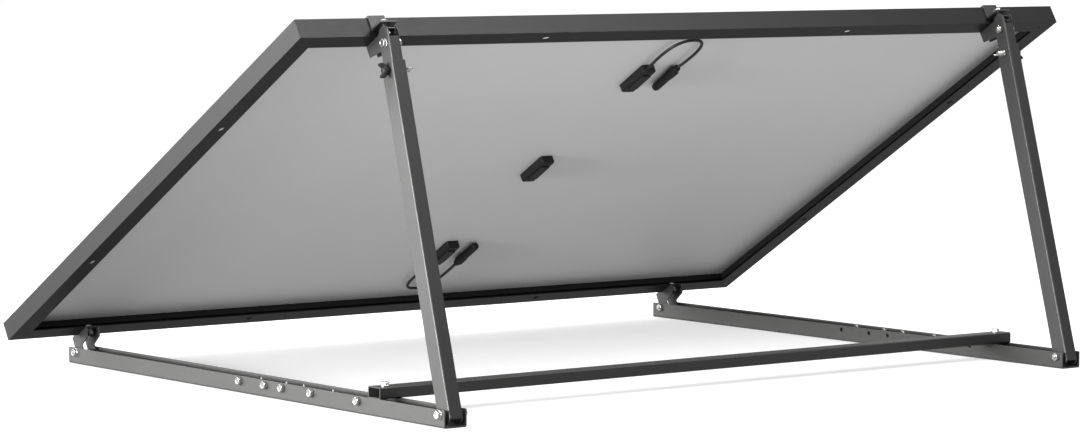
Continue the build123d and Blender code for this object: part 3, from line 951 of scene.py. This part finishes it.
    def build_panel(self) -> None:
        """Build the bolts and nuts of the panel's edges."""
        place = LAYOUT
        front, rear = place.outward, -place.outward
        self.bolts("hinge_bracket_bolts", "panel", self.sloped(self.edge_hole, self.bracket_face, place.across, rear),
                   Shank(12.3, 9.0))
        self.nuts("hinge_bracket_nuts", "panel", self.sloped(self.edge_hole, self.flange_face, place.up_slope, front))
        self.bolts("clamp_bolts", "panel", self.sloped(place.high_u, self.clamp_face, place.up_slope, front),
                   Shank(23.0, 18.0), self.small_collar)
        self.nuts("clamp_nuts", "panel", self.sloped(place.high_u, self.fold_face, place.up_slope, rear))
        pivot = place.on_panel(0, place.high_u, -place.high_depth)
        self.bolts("top_pivot_bolts", "panel", self.pair(self.cheek_face, [pivot], True), Shank(32.5, 12.0))
        self.nuts("top_pivot_nuts", "panel", self.pair(self.cheek_face, [pivot], False))

    def build(self) -> None:
        """Build every bolt and nut but the locks'."""
        self.build_base()
        self.build_panel()


# ---- Lock knobs and wing nuts ------------------------------------------------------------
@dataclass
class Locks:
    """Winged knob, lock bolt and wing nut of each leg, in millimetres.

    Attributes:
        wardrobe: The materials.
        stands: Stands shapes on seats.
        thread: Thread of the lock bolts.
        face: Distance of the outer leg's face from its centre line.
        tip: Length of a lock bolt beyond the knob's seat.
        plain: Length of its plain part beyond the seat.
        inside: Length of it inside the knob.
        ribs: Ribs round a knob.
        knob_hub: Rings of a knob's hub.
        knob_wing: Outline of one of its wings.
        nut_hub: Rings of a wing nut's hub.
        nut_wing: Outline of one of its wings.
    """

    wardrobe: Wardrobe
    stands: Stands
    thread: Thread = Thread()
    face: float = 13.8
    tip: float = 43.6
    plain: float = 14.0
    inside: float = 8.0
    ribs: int = 16
    knob_hub: Profile = (
        (0, 4.1, ROUND), (0, 7.2, ROUND), (0.6, 8.0, RIBBED), (6.5, 8.0, RIBBED), (9.5, 6.6, ROUND),
        (11.4, 4.6, ROUND), (12.0, 1.0, ROUND), (8.0, 1.0, ROUND), (8.0, 4.1, ROUND),
    )
    knob_wing: tuple[tuple[float, float], ...] = (
        (3.5, 2.4), (10.0, 5.2), (12.5, 8.4), (12.5, 15.2), (11.2, 17.0), (9.4, 17.0), (4.2, 11.6),
    )
    nut_hub: Profile = (
        (0, 4.1, ROUND), (0, 6.1, ROUND), (0.5, 6.5, ROUND), (2.2, 6.5, ROUND), (4.6, 5.6, ROUND),
        (7.0, 5.2, ROUND), (7.0, 4.1, ROUND),
    )
    nut_wing: tuple[tuple[float, float], ...] = (
        (4.3, 1.2), (9.5, 3.2), (13.4, 6.4), (14.9, 10.4), (14.2, 13.2), (12.0, 14.0), (9.2, 12.2),
        (7.2, 8.6), (4.6, 6.6),
    )

    def winged(self, name: str, hub: Profile, wing: Sequence[tuple[float, float]], blade: float,
               bevel: float) -> bpy.types.Mesh:
        """Make a turned hub with two upright wings.

        Args:
            name: Name of the mesh.
            hub: Rings of the hub.
            wing: Outline of one wing, x and z.
            blade: Thickness of a wing.
            bevel: Rounding of its edges.

        Returns:
            The mesh, in metres.
        """
        other = [(-x, z) for x, z in reversed(wing)]
        stay = Matrix.Identity(4)
        return joined(name, [(turned(name, hub, hollow=True, ribs=self.ribs, depth=0.5), stay),
                             (prism(name, wing, blade, bevel), stay), (prism(name, other, blade, bevel), stay)])

    def stud_profile(self) -> Profile:
        """Rings of a lock bolt, from its tip up into the knob."""
        thread = self.thread.rings(-self.tip + 0.5, -self.plain, 0.62)
        return [(-self.tip, 3.3, ROUND), *thread, (self.inside, self.thread.radius, ROUND)]

    def build_side(self, name: str, side: int) -> None:
        """Build the knob, the lock bolt and the wing nut of one leg.

        Args:
            name: Name of the side.
            side: -1 for the left, 1 for the right.
        """
        point = LAYOUT.on_leg(0, LAYOUT.lock_reach)
        outboard = [sideways(side, self.face, point, True, LAYOUT.along)]
        inboard = [sideways(side, self.face, point, False, LAYOUT.forward)]
        steel = self.wardrobe.get(Look.STEEL)
        shape = self.winged("knob", self.knob_hub, self.knob_wing, 7.0, 1.1)
        knob = self.stands.place(f"lock_knob_{name}_fine", shape, outboard, self.wardrobe.get(Look.PLASTIC))
        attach(knob, f"lock_{name}")
        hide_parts(f"lock_knob_{name}")
        stud = self.stands.place(f"lock_bolt_{name}_fine", turned("stud", self.stud_profile()), outboard, steel)
        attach(stud, f"lock_{name}")
        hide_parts(f"lock_bolt_{name}")
        shape = self.winged("wing_nut", self.nut_hub, self.nut_wing, 2.6, 0.8)
        nut = self.stands.place(f"wing_nut_{name}_fine", shape, inboard, steel)
        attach(nut, f"wing_{name}")
        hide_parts(f"wing_nut_{name}")
        log.info("lock_%s: knob, bolt and wing nut", name)

    def build(self) -> None:
        """Build both sides."""
        for name, side in SIDES.items():
            self.build_side(name, side)


# ---- Leads -------------------------------------------------------------------------------
@dataclass
class Leads:
    """Cables from the junction boxes, with ribbed plug and socket, in millimetres.

    Attributes:
        wardrobe: The materials.
        stands: Stands shapes on seats.
        level: Distance of the leads in front of the frame's rear face.
        diameter: Diameter of the jacket.
        ribs: Ribs round a connector's gland nut.
        depth: Depth of those ribs.
        routes: Points of each lead on the panel, from its box to its connector.
        plug: Rings of a mated plug and socket, along Z from the lead.
    """

    wardrobe: Wardrobe
    stands: Stands
    level: float = 18.0
    diameter: float = 5.6
    ribs: int = 18
    depth: float = 0.8
    routes: dict[str, tuple[tuple[float, float], ...]] = field(default_factory=lambda: {
        "top": ((-7, 961), (-14, 1010), (3, 1062), (53, 1062), (70, 1010), (61, 961)),
        "bottom": ((-7, 173), (-16, 122), (-4, 68), (46, 68), (59, 123), (56, 173)),
    })
    plug: Profile = (
        (0, 3.2, ROUND), (0, 5.4, ROUND), (1.0, 6.3, ROUND), (8.5, 6.8, ROUND), (9.2, 7.8, ROUND),
        (10.0, 9.0, RIBBED), (20.0, 9.0, RIBBED), (30.8, 8.7, RIBBED), (31.6, 7.6, ROUND), (32.4, 7.4, ROUND),
        (33.2, 7.9, ROUND), (49.0, 7.9, ROUND), (49.8, 7.0, ROUND), (51.6, 7.0, ROUND), (52.4, 7.9, ROUND),
        (72.0, 7.7, ROUND), (76.4, 6.6, ROUND), (78.0, 4.4, ROUND),
    )

    def length(self, curve: bpy.types.Object) -> float:
        """Measure a curve's own line on a bare copy of it.

        Args:
            curve: The curve.

        Returns:
            The length, in metres.
        """
        copy = bpy.data.objects.new("measured_line", curve.data.copy())
        copy.data.bevel_depth = 0.0
        bpy.context.scene.collection.objects.link(copy)
        graph = bpy.context.evaluated_depsgraph_get()
        line = bpy.data.meshes.new_from_object(copy.evaluated_get(graph))
        points = [v.co.copy() for v in line.vertices]
        bpy.data.meshes.remove(line)
        bpy.data.curves.remove(copy.data)
        return sum((b - a).length for a, b in zip(points, points[1:]))

    def cable(self, name: str, route: Sequence[tuple[float, float]]) -> bpy.types.Object:
        """Lay a cable along its route.

        Args:
            name: Name of the lead.
            route: Points on the panel, across and up.

        Returns:
            The cable, as one smooth curve.
        """
        data = bpy.data.curves.new(f"lead_{name}_line", "CURVE")
        data.dimensions = "3D"
        spline = data.splines.new("NURBS")
        spline.points.add(len(route) - 1)
        for point, (x, u) in zip(spline.points, route):
            point.co = (*(LAYOUT.on_panel(x, u, self.level) * MM), 1)
        spline.order_u = 3
        spline.use_endpoint_u = True
        spline.resolution_u = 16
        data.bevel_depth = self.diameter / 2 * MM
        data.bevel_resolution = 5
        data.use_fill_caps = True
        data.materials.append(self.wardrobe.get(Look.JACKET))
        lead = bpy.data.objects.new(f"lead_{name}_line", data)
        bpy.context.scene.collection.objects.link(lead)
        return lead

    def connector(self, name: str, end: tuple[float, float]) -> bpy.types.Object:
        """Stand a connector on the end of a lead.

        Args:
            name: Name of the lead.
            end: Its last point on the panel.

        Returns:
            The connector.
        """
        hand = -1 if name == "top" else 1
        shape = turned("connector", self.plug, segments=72, ribs=self.ribs, depth=self.depth)
        seat = Seat(LAYOUT.on_panel(*end, self.level), LAYOUT.across, LAYOUT.up_slope * hand)
        return self.stands.place(f"connector_{name}_fine", shape, [seat], self.wardrobe.get(Look.PLASTIC))

    def build(self) -> None:
        """Build both leads."""
        for name, route in self.routes.items():
            lead = self.cable(name, route)
            plug = self.connector(name, route[-1])
            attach(plug, "panel")
            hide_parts(f"connector_{name}")
            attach(lead, "panel")
            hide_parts(f"lead_{name}")
            reach = self.length(lead)
            log.info("lead_%s: %.3f m", name, reach)


# ---- Cells -------------------------------------------------------------------------------
@dataclass
class Cells:
    """Half cells and busbar ribbons behind the glass, in millimetres.

    Attributes:
        wardrobe: The materials.
        stands: Stands shapes on seats.
        columns: Cells across the panel.
        rows: Cells up the panel.
        cell_width: Width of a cell.
        cell_height: Height of a cell.
        cell_thickness: Thickness of a cell.
        gap: Gap between cells.
        middle_gap: Gap between the panel's halves.
        corner: Length of a clipped corner.
        ribbons: Ribbons on each row of cells.
        ribbon_width: Width of a ribbon.
        ribbon_thickness: Thickness of a ribbon.
        ribbon_inset: How much shorter a ribbon is than a half's row.
        ribbon_lift: Distance of a ribbon in front of the sheet.
        back_lift: Distance of the sheet in front of the frame's ledge.
        sheet: Thickness of the sheet.
        sheet_width: Width of the sheet.
        sheet_height: Height of the sheet.
        sheet_edge: Rounding of its edges.
    """

    wardrobe: Wardrobe
    stands: Stands
    columns: int = 18
    rows: int = 6
    cell_width: float = 91.0
    cell_height: float = 182.0
    cell_thickness: float = 0.15
    gap: float = 2.0
    middle_gap: float = 16.0
    corner: float = 6.0
    ribbons: int = 10
    ribbon_width: float = 0.9
    ribbon_thickness: float = 0.1
    ribbon_inset: float = 3.0
    ribbon_lift: float = 0.2
    back_lift: float = 0.6
    sheet: float = 0.9
    sheet_width: float = 1711.4
    sheet_height: float = 1124.4
    sheet_edge: float = 0.1

    @property
    def level(self) -> float:
        """Distance of the sheet in front of the frame's rear face."""
        return LAYOUT.ledge + self.back_lift

    @property
    def half_row(self) -> float:
        """Length of a row of cells on one half of the panel."""
        return self.columns // 2 * (self.cell_width + self.gap)

    def row_middle(self, row: int) -> float:
        """Distance of a row's middle up the panel."""
        return LAYOUT.height / 2 + (row - (self.rows - 1) / 2) * (self.cell_height + self.gap)

    def plate(self) -> bpy.types.Mesh:
        """Make a half cell with two clipped corners, on its own XY plane.

        Returns:
            The mesh, in metres.
        """
        w, h, c = self.cell_width / 2, self.cell_height / 2, self.corner
        outline = [(-w, -h + c), (-w + c, -h), (w, -h), (w, h), (-w + c, h), (-w, h - c)]
        mesh = bmesh.new()
        low = [mesh.verts.new((x * MM, y * MM, 0)) for x, y in outline]
        top = [mesh.verts.new((x * MM, y * MM, self.cell_thickness * MM)) for x, y in outline]
        mesh.faces.new(list(reversed(low)))
        mesh.faces.new(top)
        for a in range(len(outline)):
            b = (a + 1) % len(outline)
            mesh.faces.new((low[a], low[b], top[b], top[a]))
        return saved("half_cell", mesh)

    def strip(self) -> bpy.types.Mesh:
        """Make a flat ribbon along X.

        Returns:
            The mesh, in metres.
        """
        size = (self.half_row - self.ribbon_inset, self.ribbon_width, self.ribbon_thickness)
        mesh = bmesh.new()
        bmesh.ops.create_cube(mesh, size=1.0)
        bmesh.ops.scale(mesh, vec=[length * MM for length in size], verts=mesh.verts)
        return saved("ribbon", mesh)

    def cell_seats(self) -> list[Seat]:
        """Find the place of every cell, clipped corners towards the panel's middle.

        Returns:
            The seats.
        """
        seats = []
        half = self.columns // 2
        for column in range(self.columns):
            hand = -1 if column < half else 1
            step = (half - column - 0.5) if column < half else (column - half + 0.5)
            x = hand * (self.middle_gap / 2 + step * (self.cell_width + self.gap))
            for row in range(self.rows):
                point = LAYOUT.on_panel(x, self.row_middle(row), self.level + self.sheet)
                seats.append(Seat(point, LAYOUT.across * -hand, LAYOUT.outward))
        return seats

    def ribbon_seats(self) -> list[Seat]:
        """Find the place of every ribbon.

        Returns:
            The seats.
        """
        seats = []
        for hand in (-1, 1):
            x = hand * (self.middle_gap / 2 + self.half_row / 2)
            for row in range(self.rows):
                for line in range(self.ribbons):
                    u = self.row_middle(row) + (line - (self.ribbons - 1) / 2) * self.cell_height / self.ribbons
                    point = LAYOUT.on_panel(x, u, self.level + self.sheet + self.ribbon_lift)
                    seats.append(Seat(point, LAYOUT.across, LAYOUT.outward))
        return seats

    def build(self) -> None:
        """Build the cells, the ribbons and the sheet under them."""
        cells, ribbons = self.cell_seats(), self.ribbon_seats()
        plates = self.stands.place("cell_plates", self.plate(), cells, self.wardrobe.get(Look.CELL))
        wires = self.stands.place("busbar_ribbons", self.strip(), ribbons, self.wardrobe.get(Look.RIBBON))
        edge = self.sheet_width / 2
        outline = [(-edge, 0), (edge, 0), (edge, self.sheet), (-edge, self.sheet)]
        body = prism("cell_sheet", outline, self.sheet_height, self.sheet_edge)
        seat = Seat(LAYOUT.on_panel(0, LAYOUT.height / 2, self.level), LAYOUT.across, LAYOUT.outward)
        sheet = self.stands.place("encapsulant", body, [seat], self.wardrobe.get(Look.BACKSHEET))
        for piece in (plates, wires, sheet):
            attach(piece, "panel")
        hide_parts("cell_sheet")
        log.info("cells: %d, ribbons: %d", len(cells), len(ribbons))


# ---- Studio ------------------------------------------------------------------------------
@dataclass(frozen=True)
class Lamp:
    """Soft rectangular light aimed at a point, in metres and watts."""

    name: str
    place: Triple
    target: Triple
    size: tuple[float, float]
    power: float

    def build(self) -> None:
        """Put the light in the scene."""
        data = bpy.data.lights.new(self.name, "AREA")
        data.shape = "RECTANGLE"
        data.size, data.size_y = self.size
        data.energy = self.power
        lamp = bpy.data.objects.new(self.name, data)
        lamp.location = self.place
        lamp.rotation_euler = (Vector(self.target) - Vector(self.place)).to_track_quat("-Z", "Y").to_euler()
        bpy.context.scene.collection.objects.link(lamp)


@dataclass
class Studio:
    """Floor, lights and camera, in metres.

    Attributes:
        eye: Place of the camera.
        look: Direction of its view.
        lens: Focal length, in millimetres.
        sensor: Width of its sensor, in millimetres.
        shift: Shift of its lens, across and up.
        lamps: The lights.
        floor_size: Half width of the floor.
        floor_tone: Brightness of the floor's colour, as the camera sees it.
        floor_dim: Brightness of the floor's colour for other rays.
        floor_lift: Light of the floor's own, as the camera sees it.
        fade: Where along Y the light thrown on the object starts and stops to fade.
        bounce: That light at both ends of the fade.
        bright_side: Direction of the room's bright side.
        spread: How far the room's light changes away from that direction.
        levels: Light of the room's dim and bright sides.
    """

    eye: Triple = (-4.3471, -5.6411, 0.8135)
    look: Triple = (0.6051, 0.7931, -0.0698)
    lens: float = 128.5
    sensor: float = 36.0
    shift: tuple[float, float] = (-0.0120, -0.0188)
    lamps: tuple[Lamp, ...] = (
        Lamp("wall_left", (-5.4, 4.6, 1.5), (0, 0, 0.3), (4.0, 2.6), 300.0),
        Lamp("low_left", (-4.6, 0.1, 0.5), (0, 0, 0.2), (2.5, 0.7), 560.0),
        Lamp("top_soft", (0.8, 1.2, 4.5), (0, 0, 0.2), (4.0, 4.0), 150.0),
        Lamp("rim_top", (1.0, -2.2, 3.2), (-0.4, -0.4, 0.5), (1.6, 1.6), 95.0),
    )
    floor_size: float = 30.0
    floor_tone: float = 0.55
    floor_dim: float = 0.05
    floor_lift: float = 0.48
    fade: tuple[float, float] = (-1.1, 0.2)
    bounce: tuple[float, float] = (0.62, 0.31)
    bright_side: Triple = (-0.72, 0.46, 0.52)
    spread: float = 0.9
    levels: tuple[float, float] = (0.03, 1.5)

    def paper(self) -> bpy.types.Material:
        """Pale floor that throws an even, dimmer light up on the object.

        Returns:
            The material.
        """
        pale = bpy.data.materials.new("pale_floor")
        pale.use_nodes = True
        nodes, links = pale.node_tree.nodes, pale.node_tree.links
        shader = nodes["Principled BSDF"]
        shader.inputs["Roughness"].default_value = 0.9
        shader.inputs["Specular IOR Level"].default_value = 0.1
        shader.inputs["Emission Strength"].default_value = 1.0
        seen = nodes.new("ShaderNodeLightPath")
        place = nodes.new("ShaderNodeTexCoord")
        apart = nodes.new("ShaderNodeSeparateXYZ")
        fade = nodes.new("ShaderNodeMapRange")
        fade.interpolation_type = "SMOOTHSTEP"
        fade.inputs["From Min"].default_value, fade.inputs["From Max"].default_value = self.fade
        fade.inputs["To Min"].default_value, fade.inputs["To Max"].default_value = self.bounce
        links.new(place.outputs["Object"], apart.inputs["Vector"])
        links.new(apart.outputs["Y"], fade.inputs["Value"])
        for label, shown in (("Base Color", self.floor_tone), ("Emission Color", self.floor_lift)):
            mix = nodes.new("ShaderNodeMixRGB")
            mix.inputs["Color1"].default_value = (self.floor_dim, self.floor_dim, self.floor_dim, 1)
            mix.inputs["Color2"].default_value = (shown, shown, shown, 1)
            if label == "Emission Color":
                links.new(fade.outputs["Result"], mix.inputs["Color1"])
            links.new(seen.outputs["Is Camera Ray"], mix.inputs["Fac"])
            links.new(mix.outputs["Color"], shader.inputs[label])
        return pale

    def room(self) -> bpy.types.World:
        """White room, brightest to the left and dim behind the rear legs.

        Returns:
            The world. The camera sees plain white in every direction.
        """
        world = bpy.data.worlds.new("studio")
        world.use_nodes = True
        nodes, links = world.node_tree.nodes, world.node_tree.links
        place = nodes.new("ShaderNodeTexCoord")
        toward = nodes.new("ShaderNodeVectorMath")
        toward.operation = "DOT_PRODUCT"
        toward.inputs[1].default_value = self.bright_side
        band = nodes.new("ShaderNodeMapRange")
        band.interpolation_type = "SMOOTHSTEP"
        band.inputs["From Min"].default_value = -self.spread
        band.inputs["From Max"].default_value = self.spread
        band.inputs["To Min"].default_value, band.inputs["To Max"].default_value = self.levels
        seen = nodes.new("ShaderNodeLightPath")
        mix = nodes.new("ShaderNodeMix")
        mix.inputs["B"].default_value = 1.0
        background = nodes["Background"]
        background.inputs["Color"].default_value = (1, 1, 1, 1)
        links.new(place.outputs["Generated"], toward.inputs[0])
        links.new(toward.outputs["Value"], band.inputs["Value"])
        links.new(seen.outputs["Is Camera Ray"], mix.inputs["Factor"])
        links.new(band.outputs["Result"], mix.inputs["A"])
        links.new(mix.outputs["Result"], background.inputs["Strength"])
        return world

    def floor(self) -> None:
        """Lay the floor."""
        mesh = bmesh.new()
        bmesh.ops.create_grid(mesh, x_segments=1, y_segments=1, size=self.floor_size)
        data = saved("floor", mesh)
        floor = new_piece("floor", data)
        data.materials.append(self.paper())

    def camera(self) -> None:
        """Set up the camera."""
        data = bpy.data.cameras.new("view")
        data.lens = self.lens
        data.sensor_width = self.sensor
        data.shift_x, data.shift_y = self.shift
        camera = bpy.data.objects.new("view", data)
        camera.location = self.eye
        camera.rotation_euler = Vector(self.look).to_track_quat("-Z", "Y").to_euler()
        bpy.context.scene.collection.objects.link(camera)
        bpy.context.scene.camera = camera

    def build(self) -> None:
        """Build the studio."""
        self.floor()
        scene = bpy.context.scene
        scene.world = self.room()
        scene.view_settings.view_transform = "Standard"
        for lamp in self.lamps:
            lamp.build()
        self.camera()
        log.info("studio: %d lights", len(self.lamps))


# ---- CAD nodes that stay -----------------------------------------------------------------
@dataclass
class Structure:
    """Rails, crossbar, legs, brackets and panel, whose CAD shapes stay."""

    wardrobe: Wardrobe

    def build_mount(self) -> None:
        """Dress the rails, the crossbar, the legs and the brackets."""
        self.wardrobe.dress(Look.RAIL, "rail_left", "rail_right")
        self.wardrobe.dress(Look.CROSSBAR, "crossbar")
        for name in SIDES:
            self.wardrobe.dress(Look.LEG, f"leg_outer_{name}", f"leg_inner_{name}")
            self.wardrobe.dress(Look.BRACKET, f"hinge_bracket_{name}", f"pivot_bracket_{name}", f"end_clamp_{name}")
        self.wardrobe.dress(Look.BUSH, "rear_pivot_spacers", "front_pivot_spacers")

    def build_panel(self) -> None:
        """Dress the frame, the sheets and the junction boxes."""
        self.wardrobe.dress(Look.FRAME, "frame_left", "frame_right", "frame_top", "frame_bottom", "corner_keys")
        self.wardrobe.dress(Look.BACKSHEET, "backsheet")
        self.wardrobe.dress(Look.GLASS, "glass")
        for name in ("bottom", "middle", "top"):
            self.wardrobe.dress(Look.PLASTIC, f"junction_box_{name}", f"junction_lid_{name}")

    def build(self) -> None:
        """Dress every CAD node that stays."""
        self.build_mount()
        self.build_panel()


def main() -> None:
    """Build every sub-assembly in order."""
    logging.basicConfig(level=logging.INFO, format="%(name)s: %(message)s")
    wardrobe, stands = Wardrobe(), Stands()
    Structure(wardrobe).build()
    Fasteners(wardrobe, stands).build()
    Locks(wardrobe, stands).build()
    Leads(wardrobe, stands).build()
    Cells(wardrobe, stands).build()
    Studio().build()
    bpy.context.view_layer.update()


if __name__ == "__main__":
    main()
